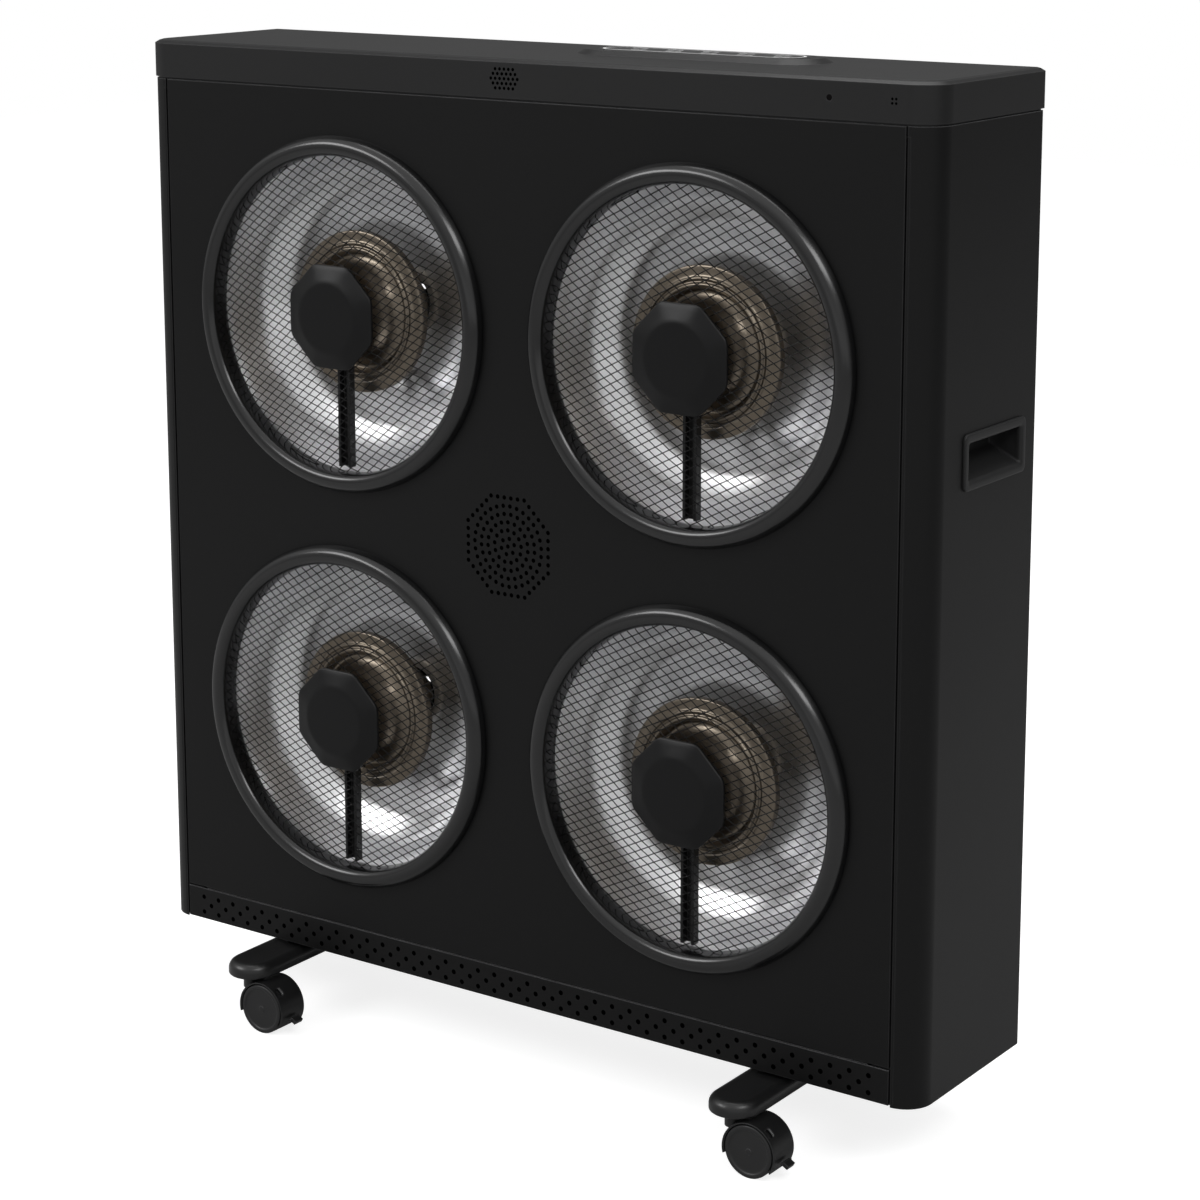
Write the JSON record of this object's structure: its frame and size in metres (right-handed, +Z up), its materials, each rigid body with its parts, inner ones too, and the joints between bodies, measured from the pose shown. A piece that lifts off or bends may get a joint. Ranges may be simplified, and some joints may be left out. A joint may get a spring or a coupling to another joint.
{
  "type": "infrared cabinet heater",
  "caption": "Tall flat cabinet with guarded round reflector dishes over bronze emitters, a raised touch-control pad on the cap, side grips and foot bars on swivel castors.",
  "frame": {"origin": "on the floor, under the middle of the bounding box", "axes": "+Z up, -Y out of the front with the dishes, +X to the right as seen from the front"},
  "size_m": [0.716, 0.273, 0.7889],
  "materials": {
    "cabinet_paint": "fine satin black powder coat",
    "cap_paint": "fine satin black powder coat",
    "grip_plastic": "fine grained black plastic",
    "overlay_gloss": "glossy black touch film",
    "board_green": "printed circuit board",
    "lens_dark": "dark infrared window",
    "inner_plastic": "moulded black plastic",
    "ceramic": "unglazed ceramic",
    "foot_plastic": "satin black plastic",
    "fastener_steel": "zinc plated steel",
    "bezel_black": "satin black paint",
    "guard_wire": "bright steel wire",
    "dish_aluminium": "bright satin aluminium",
    "bronze": "polished bronze",
    "element_steel": "heat tinted steel sheath",
    "centre_black": "satin black paint",
    "channel_black": "matte black paint",
    "castor_plastic": "satin black plastic",
    "wheel_plastic": "matte black plastic",
    "lever_plastic": "satin black plastic"
  },
  "bodies": {
    "cabinet": {"front_panel": "cabinet_paint", "rear_panel": "cabinet_paint", "side_panel_left": "cabinet_paint", "side_panel_right": "cabinet_paint", "base_tray": "cabinet_paint", "top_cap": "cap_paint", "handle_left": "grip_plastic", "handle_right": "grip_plastic", "control_overlay": "overlay_gloss", "control_board": "board_green", "power_board": "board_green", "receiver_lens": "lens_dark", "sounder": "inner_plastic", "room_sensor": "inner_plastic", "tilt_switch": "inner_plastic", "cable_gland": "inner_plastic", "terminal_blocks": "ceramic", "foot_bar_left": "foot_plastic", "foot_bar_right": "foot_plastic", "rear_screws": "fastener_steel", "foot_bolts": "fastener_steel", "bezel_ring_tl": "bezel_black", "wire_guard_tl": "guard_wire", "reflector_tl": "dish_aluminium", "emitter_bell_tl": "bronze", "heating_element_tl": "element_steel", "centre_cap_tl": "centre_black", "cable_channel_tl": "channel_black", "bezel_ring_tr": "bezel_black", "wire_guard_tr": "guard_wire", "reflector_tr": "dish_aluminium", "emitter_bell_tr": "bronze", "heating_element_tr": "element_steel", "centre_cap_tr": "centre_black", "cable_channel_tr": "channel_black", "bezel_ring_bl": "bezel_black", "wire_guard_bl": "guard_wire", "reflector_bl": "dish_aluminium", "emitter_bell_bl": "bronze", "heating_element_bl": "element_steel", "centre_cap_bl": "centre_black", "cable_channel_bl": "channel_black", "bezel_ring_br": "bezel_black", "wire_guard_br": "guard_wire", "reflector_br": "dish_aluminium", "emitter_bell_br": "bronze", "heating_element_br": "element_steel", "centre_cap_br": "centre_black", "cable_channel_br": "channel_black"},
    "castor_front_left": {"castor_housing_front_left": "castor_plastic"},
    "wheels_front_left": {"castor_wheels_front_left": "wheel_plastic"},
    "brake_front_left": {"brake_lever_front_left": "lever_plastic"},
    "castor_front_right": {"castor_housing_front_right": "castor_plastic"},
    "wheels_front_right": {"castor_wheels_front_right": "wheel_plastic"},
    "brake_front_right": {"brake_lever_front_right": "lever_plastic"},
    "castor_rear_left": {"castor_housing_rear_left": "castor_plastic"},
    "wheels_rear_left": {"castor_wheels_rear_left": "wheel_plastic"},
    "castor_rear_right": {"castor_housing_rear_right": "castor_plastic"},
    "wheels_rear_right": {"castor_wheels_rear_right": "wheel_plastic"}
  },
  "joints": [
    {"name": "swivel_front_left", "type": "hinge", "parent": "cabinet", "child": "castor_front_left", "pos_m": [-0.23, -0.1165, 0.044], "axis": [0, 0, 1], "continuous": true},
    {"name": "spin_front_left", "type": "hinge", "parent": "castor_front_left", "child": "wheels_front_left", "pos_m": [-0.2115, -0.1165, 0.02], "axis": [0, 1, 0], "continuous": true},
    {"name": "brake_front_left", "type": "hinge", "parent": "castor_front_left", "child": "brake_front_left", "pos_m": [-0.18763, -0.1165, 0.01405], "axis": [0, 1, 0], "range_deg": [0, 20]},
    {"name": "swivel_front_right", "type": "hinge", "parent": "cabinet", "child": "castor_front_right", "pos_m": [0.23, -0.1165, 0.044], "axis": [0, 0, 1], "continuous": true},
    {"name": "spin_front_right", "type": "hinge", "parent": "castor_front_right", "child": "wheels_front_right", "pos_m": [0.2485, -0.1165, 0.02], "axis": [0, 1, 0], "continuous": true},
    {"name": "brake_front_right", "type": "hinge", "parent": "castor_front_right", "child": "brake_front_right", "pos_m": [0.27237, -0.1165, 0.01405], "axis": [0, 1, 0], "range_deg": [0, 20]},
    {"name": "swivel_rear_left", "type": "hinge", "parent": "cabinet", "child": "castor_rear_left", "pos_m": [-0.23, 0.1165, 0.044], "axis": [0, 0, 1], "continuous": true},
    {"name": "spin_rear_left", "type": "hinge", "parent": "castor_rear_left", "child": "wheels_rear_left", "pos_m": [-0.2115, 0.1165, 0.02], "axis": [0, 1, 0], "continuous": true},
    {"name": "swivel_rear_right", "type": "hinge", "parent": "cabinet", "child": "castor_rear_right", "pos_m": [0.23, 0.1165, 0.044], "axis": [0, 0, 1], "continuous": true},
    {"name": "spin_rear_right", "type": "hinge", "parent": "castor_rear_right", "child": "wheels_rear_right", "pos_m": [0.2485, 0.1165, 0.02], "axis": [0, 1, 0], "continuous": true}
  ]
}
